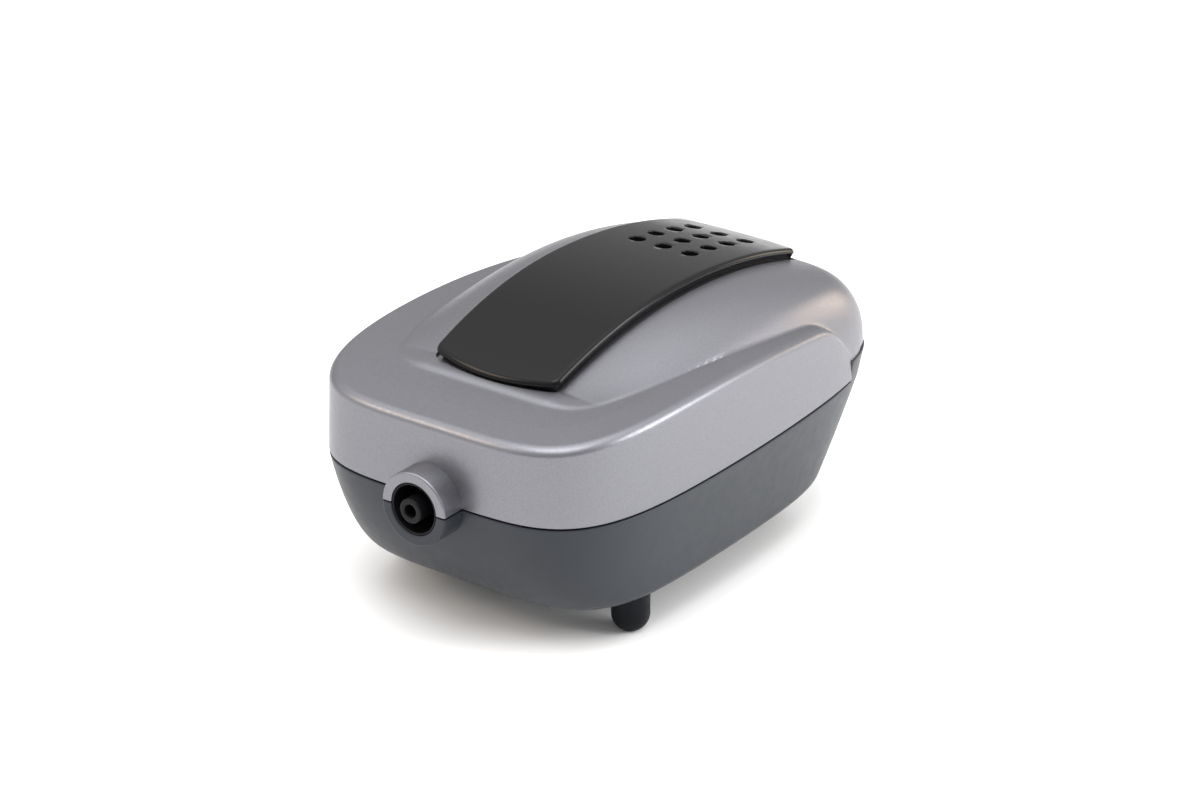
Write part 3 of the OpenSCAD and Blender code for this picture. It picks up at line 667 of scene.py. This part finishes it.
FOOT_SPOTS = {
    "foot_front_left": (-28.5, 30),
    "foot_front_right": (28.5, 30),
    "foot_rear_left": (-18, 93.5),
    "foot_rear_right": (18, 93.5),
}
SCREW_SPOTS = ((-15, 20), (15, 20), (-27, 84), (27, 84))
BOSS_R = 4.2
COUNTERBORE_R = 3.2
COUNTERBORE_Z = -9.8
SCREW_HOLE_R = 1.7
FOOT_HOLE_R = 2.5
GROMMET_X = -16.0
GROMMET_Z = -8.0
GROMMET_R = 4.6
TAIL_Y = BODY_L - 3
TAIL_BOSS_R = GROMMET_R + 1.6
TAIL_BOSS_Y = 103.0
TAIL_BOSS_END = TAIL_Y - 1.6
TAIL_BOSS_EDGE = 0.4
CORD_BORE_R = GROMMET_R + 0.05
CORD_BORE_Y = 95.0


def rod(name, r, low, high, spot):
    return turned(name, [(0, low), (r, low), (r, high), (0, high)], (*spot, 0), 40, "z")


def tail_rod(name, profile):
    """Solid of revolution on the cord's axis. Profile is (radius, y)."""
    profile = [(r, -y) for r, y in profile]
    return turned(name, profile, (GROMMET_X, 0, GROMMET_Z), 72)


def hull_bosses():
    """Screw posts, and the round seat that carries the cord's grommet."""
    rods = [rod("boss", BOSS_R, WALL / 2 - HULL_D, -0.5, p) for p in SCREW_SPOTS]
    end, edge = TAIL_BOSS_END, TAIL_BOSS_EDGE
    rim = arc(TAIL_BOSS_R - edge, end - edge, edge, 0, 90, 6)
    seat = [(0, TAIL_BOSS_Y), (TAIL_BOSS_R, TAIL_BOSS_Y), *rim, (0, end)]
    rods.append(tail_rod("tail_boss", seat))
    return join("hull_bosses", rods)


def hull_cutters():
    """Screw holes and their counterbores, foot holes, the cord's bore and the outlet."""
    low = -HULL_D - 1
    feet_top = -HULL_D + WALL + 1
    tools = [rod("counterbore", COUNTERBORE_R, low, COUNTERBORE_Z, p) for p in SCREW_SPOTS]
    tools += [rod("screw_hole", SCREW_HOLE_R, COUNTERBORE_Z - 0.1, 2, p) for p in SCREW_SPOTS]
    tools += [rod("foot_hole", FOOT_HOLE_R, low, feet_top, p) for p in FOOT_SPOTS.values()]
    r, start, end = CORD_BORE_R, CORD_BORE_Y, BODY_L + 5
    tools.append(tail_rod("cord_hole", [(0, start), (r, start), (r, end), (0, end)]))
    tools.append(outlet_cutter())
    return join("hull_cutters", tools)


# Tongue that stands up inside the parting line
TONGUE_IN = WALL + 0.25
TONGUE_W = 1.2
TONGUE_H = 1.6
KEEL_DEEP = 3


def bottom_housing():
    """Graphite hull from the floor inside, over its tongue and rim, and down to the keel."""
    rim = -RIM_Z + SEAM_GAP / 2
    turn = np.radians(np.linspace(90, 0, 6))
    edge = [(EDGE_R * (1 - math.sin(a)), EDGE_R * (1 - math.cos(a))) for a in turn]
    outer = [hull_ring(rim + drop, inset) for drop, inset in edge]
    keel = HULL_D - KEEL_DEEP * (1 - np.cos(np.radians(np.linspace(90, 3, 20))))
    outer += [hull_ring(q) for q in [*np.linspace(1.2, 20.4, 24), *keel]]
    outer += [floor_ring(s, -HULL_D) for s in (0.97, 0.8, 0.5, 0.1)]
    up = np.array([0, 0, TONGUE_H])
    tongue_low = hull_ring(rim, TONGUE_IN)
    tongue = [hull_ring(rim, TONGUE_IN + TONGUE_W) + up, tongue_low + up, tongue_low]
    inside = [hull_ring(q, WALL + 0.2) for q in (18, 12, 4)]
    level = -HULL_D + WALL
    floor_in = ring(*hull_ring(20.5, WALL)[:, :2].T, level)
    core = ring(floor_in[:, 0] * 0.5, PLAN_YC + (floor_in[:, 1] - PLAN_YC) * 0.5, level)
    rings = [core, floor_in, *inside, *tongue, *outer]
    shell = loft("hull", rings, (0, PLAN_YC, level), (0, PLAN_YC, -HULL_D))
    boolean(shell, hull_bosses(), "UNION")
    boolean(shell, hull_cutters(), "DIFFERENCE")
    return join("bottom_housing_shell", [shell, collar_half("collar_bottom", -1)])


# ---------------------------------------------------------------- inlaid panel
PANEL_HW = 16.45
PANEL_RISE = 2.4
PANEL_YF = 19.3
PANEL_YR = 111.6
PANEL_BOW = 2.9
PANEL_CORNER = 1.5
PANEL_EDGE = 1.0
UNDERCUT = 1.2
POCKET_DEEP = 0.7
POCKET_GAP = 0.35
PANEL_YC = (PANEL_YF + PANEL_YR) / 2
PANEL_TAPER = 0.0004
PANEL_WIDE_Y = 60.0
PANEL_LIFT = 0.25
PANEL_INNER = np.linspace(1, 0.04, 22)[:0:-1]
SIDE_STEPS = 90
ARC_STEPS = 10
END_STEPS = 30


def oblong(a, b, r):
    """Outline of a rounded oblong with half sides a and b, counter-clockwise."""
    along = np.linspace(-1, 1, SIDE_STEPS)
    across = np.linspace(-1, 1, END_STEPS)[1:-1]
    turn = np.radians(np.linspace(0, 90, ARC_STEPS + 1))[1:]
    right = [(a, (b - r) * t) for t in along]
    corner = [(a - r + r * math.cos(t), b - r + r * math.sin(t)) for t in turn]
    far = [(-(a - r) * t, b) for t in across]
    half = right + corner + far + [(-x, y) for x, y in corner[::-1]]
    return np.array(half + [(-x, -y) for x, y in half])


def panel_ring(d, s, z_of):
    """The panel's outline moved in by d and shrunk by s, tapered and with bowed ends."""
    a = PANEL_HW - d
    b = (PANEL_YR - PANEL_YF) / 2 - d
    q = oblong(a, b, PANEL_CORNER - d) * s
    side = PANEL_HW - PANEL_TAPER * (PANEL_YC + q[:, 1] - PANEL_WIDE_Y) ** 2
    x = q[:, 0] * side / PANEL_HW
    bow = PANEL_BOW * (x / PANEL_HW) ** 2 * (abs(q[:, 1]) / b) ** 2
    y = PANEL_YC + q[:, 1] - np.sign(q[:, 1]) * bow
    return ring(x, y, z_of(x, y))


def panel_top(x, y):
    return ridge(y) + PANEL_RISE


def pocket_floor(x, y):
    return top_z(x, y, np.minimum(BODY_L - y, 30)) - POCKET_DEEP


def panel_under(x, y):
    return pocket_floor(x, y) + PANEL_LIFT


def panel_pocket():
    """Cutter for the shallow seat of the panel, a little wider than the panel."""
    floor = panel_ring(-POCKET_GAP, 1, pocket_floor)
    rings = [panel_ring(-POCKET_GAP, s, pocket_floor) for s in PANEL_INNER]
    rings += [floor + np.array([0, 0, h]) for h in (0, 2, 4)]
    top = float(ridge(np.array(PANEL_YC)))
    return loft("panel_pocket", rings, (0, PANEL_YC, top - POCKET_DEEP), (0, PANEL_YC, top + 5))


VENT_MOUTH = 0.25


def vent_cutter():
    """The air holes, each with a softly rounded mouth."""
    tools = []
    mouth, low, high = VENT_MOUTH, -8, 4
    r = VENT_D / 2
    for i in (-1, 0, 1):
        for k in range(4):
            y = VENT_Y + k * VENT_PITCH
            top = float(ridge(np.array(y))) + PANEL_RISE
            curve = arc(r + mouth, -mouth, mouth, 180, 90, 6)
            profile = [(0, low), (r, low)] + curve + [(r + mouth, high), (0, high)]
            tilt = math.atan2(y - RIDGE_Y, RIDGE_RR)
            tool = turned(f"vent_{i}_{k}", profile, (0, 0, 0), 40, "z")
            shift = Matrix.Translation(Vector(place((i * VENT_PITCH, y, top))))
            back = Matrix.Translation(-Vector(place((0, 0, 0))))
            tool.data.transform(shift @ Matrix.Rotation(-tilt, 4, "X") @ back)
            tools.append(tool)
    return join("vent_cutter", tools)


def top_panel():
    """Skin over the dome: rounded edge, then an undercut down to the seat."""
    turn = np.radians(np.linspace(90, 0, 12))
    edge = [(PANEL_EDGE * (1 - math.cos(t)), PANEL_EDGE * (1 - math.sin(t))) for t in turn]
    edge.append((0.25, PANEL_EDGE + 0.3))
    rings = [panel_ring(PANEL_EDGE, s, panel_top) for s in PANEL_INNER]
    rings += [panel_ring(d, 1, panel_top) - np.array([0, 0, drop]) for d, drop in edge]
    rings += [panel_ring(UNDERCUT, s, panel_under) for s in [1, *np.linspace(0.96, 0.06, 16)]]
    top = float(ridge(np.array(PANEL_YC)))
    under = top - POCKET_DEEP + PANEL_LIFT
    panel = loft("top_panel_skin", rings, (0, PANEL_YC, top + PANEL_RISE), (0, PANEL_YC, under))
    boolean(panel, vent_cutter(), "DIFFERENCE")
    return panel


# ---------------------------------------------------------------- nozzle, feet
FLANGE_Y = 2.6
FLANGE_T = 2.0
SPIGOT_R = 2.3
SPIGOT_Y = 13.0
CUP_R = RECESS_R - 0.06
CUP_T = 0.5
CUP_FILLET = 0.5
TIP_EDGE = 0.35
BORE_EDGE = 0.2


def outlet_nozzle():
    """Nozzle, its flange, and the thin cup that lines the recess."""
    tip, edge, fillet = NOZZLE_OUT, TIP_EDGE, CUP_FILLET
    seat = -FLANGE_Y - FLANGE_T
    rim = COLLAR_OUT - COLLAR_EDGE
    floor = -FLANGE_Y + 0.4
    profile = [(AIRWAY_R, -SPIGOT_Y), (SPIGOT_R, -SPIGOT_Y), (SPIGOT_R, seat), (CUP_R, seat)]
    profile += arc(CUP_R - CUP_T / 2, rim, CUP_T / 2, 0, 180, 7)
    profile += arc(CUP_R - CUP_T - fillet, floor, fillet, 360, 270, 6)
    profile += arc(NOZZLE_R + fillet, floor, fillet, 270, 180, 6)
    profile += arc(NOZZLE_R - edge, tip - edge, edge, 0, 90, 6)
    profile += arc(AIRWAY_R + BORE_EDGE, tip - BORE_EDGE, BORE_EDGE, 90, 180, 5)
    return turned("nozzle", profile, (0, 0, 0), 96)


CORD_HOLE_R = 3.1
GROMMET_EDGE = 0.5
GROMMET_FLANGE_R = GROMMET_R + 1.2
GROMMET_BARB_R = GROMMET_R + 1
GROMMET_Y = 101.0
GROMMET_BARB_Y = 102.9


def cord_grommet():
    """Grommet with a rounded flange outside and a barb inside the rear wall."""
    hole, edge, barb = CORD_HOLE_R, GROMMET_EDGE, GROMMET_BARB_R
    top = TAIL_Y - 1.55
    profile = [(hole + 0.3, GROMMET_Y), (barb, GROMMET_Y)]
    profile += [(barb, GROMMET_BARB_Y), (GROMMET_R, GROMMET_BARB_Y)]
    profile += [(GROMMET_R, top), (GROMMET_FLANGE_R, top)]
    profile += arc(GROMMET_FLANGE_R - edge, TAIL_Y - edge, edge, 0, 90, 7)
    profile += arc(hole + edge, TAIL_Y - edge, edge, 90, 180, 7) + [(hole, GROMMET_Y + 0.3)]
    return tail_rod("grommet", profile)


FOOT_R = 4.1
FOOT_FLAT_R = 1.55
FOOT_BALL_Z = FOOT_R - 0.3
FOOT_EDGE = 0.5
NECK_R = 2.4
BARB_R = NECK_R + 0.5


def foot(name, spot):
    """Rubber foot with a ball end, and a barbed stem through the hull's floor."""
    low = -HULL_D - FOOT_H
    start = -math.degrees(math.acos(FOOT_FLAT_R / FOOT_R))
    ball = arc(0, FOOT_BALL_Z, FOOT_R, start, 0, 18)
    top, edge = FOOT_H - 0.1, FOOT_EDGE
    inside = FOOT_H + WALL
    profile = [(0, 0), (FOOT_FLAT_R, 0)] + ball[1:] + [(FOOT_R, top - edge)]
    profile += arc(FOOT_R - edge, top - edge, edge, 0, 90, 6)
    profile += [(NECK_R, top), (NECK_R, inside + 0.2), (BARB_R, inside + 0.2)]
    profile += [(BARB_R, inside + 1.4), (NECK_R, inside + 1.8), (0, inside + 1.8)]
    return turned(name + "_rubber", profile, (*spot, low), 64, "z")


# ---------------------------------------------------------------- diaphragm
DIA_X = -5.0
DIA_Y = 44.02
DIA_T = 1.2
DIA_RIM = 17.3
DIA_HUB = 8.0
DIA_HOLE = 1.55
DIA_RISE = 1.4
DIA_ROLL = (8.6, 12.4)
DIA_FLAT = 13.6
DIA_HELD = 13.0
DIA_SECTORS = 8


def diaphragm_sector(index):
    """One slice of the rubber disc, with its roll between the clamped rim and the hub."""
    start, end = DIA_ROLL
    roll = np.linspace(start, end, 13)
    lift = DIA_RISE * np.clip(np.sin(np.pi * (roll - start) / (end - start)), 0, 1) ** 1.2
    over = [DIA_T + h for h in lift]
    below = [0.0 if h < 0.5 else h - 0.1 for h in lift]
    sides = []
    for level, bend in ((DIA_T, over), (0.0, below)):
        hub = [(r, level) for r in (DIA_HOLE, 4.0, DIA_HUB)]
        sides.append(hub + list(zip(roll, bend)) + [(DIA_FLAT, level), (DIA_RIM, level)])
    profile = sides[0] + sides[1][::-1]
    n, steps = len(profile), 9
    middle = index * 2 * math.pi / DIA_SECTORS
    half = math.pi / DIA_SECTORS
    points, faces = [], []
    for t in np.linspace(middle - half, middle + half, steps):
        points += [(DIA_X + r * math.cos(t), DIA_Y + h, r * math.sin(t)) for r, h in profile]
    for k in range(steps - 1):
        for i in range(n):
            j = (i + 1) % n
            faces.append((k * n + i, k * n + j, (k + 1) * n + j, (k + 1) * n + i))
    faces += [tuple(range(n)), tuple(range((steps - 1) * n, steps * n))]
    obj = mesh_object(f"diaphragm_sector_{index}", place(points), faces)
    obj.data.materials.append(MATERIALS[SLOT_OF["diaphragm"]])
    out = np.array([math.cos(middle), 0, math.sin(middle)])
    centre = np.array([DIA_X, DIA_Y, 0])
    rim, hub = (place(centre + out * r) for r in (DIA_HELD, DIA_HUB))
    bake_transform(obj)
    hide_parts("diaphragm")


for sector in range(DIA_SECTORS):
    diaphragm_sector(sector)

finish_piece(top_housing(), "top_housing")
finish_piece(bottom_housing(), "bottom_housing")
finish_piece(top_panel(), "top_panel")
finish_piece(outlet_nozzle(), "outlet_nozzle")
finish_piece(cord_grommet(), "cord_grommet")
for foot_name, foot_spot in FOOT_SPOTS.items():
    finish_piece(foot(foot_name, foot_spot), foot_name)

# ---------------------------------------------------------------- floor and light
FLOOR_SIZE = 6.0


def make_floor():
    """Plain pale floor under the pump."""
    s = FLOOR_SIZE / 2
    mesh = bpy.data.meshes.new("floor")
    mesh.from_pydata([(-s, -s, 0), (s, -s, 0), (s, s, 0), (-s, s, 0)], [], [(0, 1, 2, 3)])
    mat, shader = material("floor_paper", (0.9, 0.9, 0.9), 0.0, 0.9, 0.1)
    mesh.materials.append(mat)
    obj = bpy.data.objects.new("floor", mesh)
    bpy.context.scene.collection.objects.link(obj)


LIGHT_AIM = Vector((0, 0, 0.04))


def area_light(name, azimuth, elevation, distance, size, power, color=(1, 1, 1)):
    """Softbox that faces the object. Azimuth 0 is in front of it, 90 is on its right."""
    a, e = math.radians(azimuth), math.radians(elevation)
    away = Vector((math.sin(a) * math.cos(e), -math.cos(a) * math.cos(e), math.sin(e)))
    data = bpy.data.lights.new(name, "AREA")
    data.shape = "RECTANGLE"
    data.size, data.size_y = size
    data.energy = power
    data.color = color
    obj = bpy.data.objects.new(name, data)
    bpy.context.scene.collection.objects.link(obj)
    obj.location = LIGHT_AIM + away * distance
    obj.rotation_mode = "QUATERNION"
    obj.rotation_quaternion = (-away).to_track_quat("-Z", "Y")


# Level direction from the camera to the pump, and the room's brightness as (place, level) steps:
# up the sky from the horizon, and around from the camera's side to the far side
AWAY = (-0.593, 0.805, 0.0)
SKY = ((0.0, 0.7), (0.35, 0.95), (0.65, 1.15), (1.0, 2.2))
AROUND = ((0.0, 0.42), (0.35, 1.05), (0.6, 1.3), (0.85, 0.75), (1.0, 0.7))


def grey_ramp(tree, value, steps):
    """Ramp of greys through the given (place, level) steps."""
    ramp = tree.nodes.new("ShaderNodeValToRGB")
    tree.links.new(value, ramp.inputs["Fac"])
    ramp.color_ramp.elements[0].position = steps[0][0]
    ramp.color_ramp.elements[1].position = steps[-1][0]
    for position, _ in steps[1:-1]:
        ramp.color_ramp.elements.new(position)
    for element, (_, level) in zip(ramp.color_ramp.elements, steps):
        element.color = (level, level, level, 1)
    return ramp.outputs["Color"]


def make_world():
    """Soft room light: dimmer at the horizon, and dim on the side that the camera stands on."""
    world = bpy.data.worlds.new("studio")
    bpy.context.scene.world = world
    world.use_nodes = True
    tree = world.node_tree
    coord = tree.nodes.new("ShaderNodeTexCoord")
    split = tree.nodes.new("ShaderNodeSeparateXYZ")
    tree.links.new(coord.outputs["Generated"], split.inputs[0])
    side = tree.nodes.new("ShaderNodeVectorMath")
    side.operation = "DOT_PRODUCT"
    side.inputs[1].default_value = AWAY
    tree.links.new(coord.outputs["Generated"], side.inputs[0])
    shift = tree.nodes.new("ShaderNodeMapRange")
    shift.inputs["From Min"].default_value = -1.0
    tree.links.new(side.outputs["Value"], shift.inputs["Value"])
    background = tree.nodes["Background"]
    tree.links.new(grey_ramp(tree, split.outputs["Z"], SKY), background.inputs["Color"])
    tree.links.new(grey_ramp(tree, shift.outputs["Result"], AROUND), background.inputs["Strength"])


make_floor()
make_world()
area_light("overhead", 20, 68, 0.9, (0.7, 0.5), 3.6)
area_light("right", 116, 20, 0.55, (0.3, 0.25), 2.0)
area_light("warm_left", -42, 32, 0.7, (0.25, 0.2), 0.9, (1, 0.82, 0.66))
area_light("warm_rear", 160, 10, 0.5, (0.12, 0.12), 0.25, (1, 0.8, 0.6))
bpy.context.scene.view_settings.view_transform = "Standard"
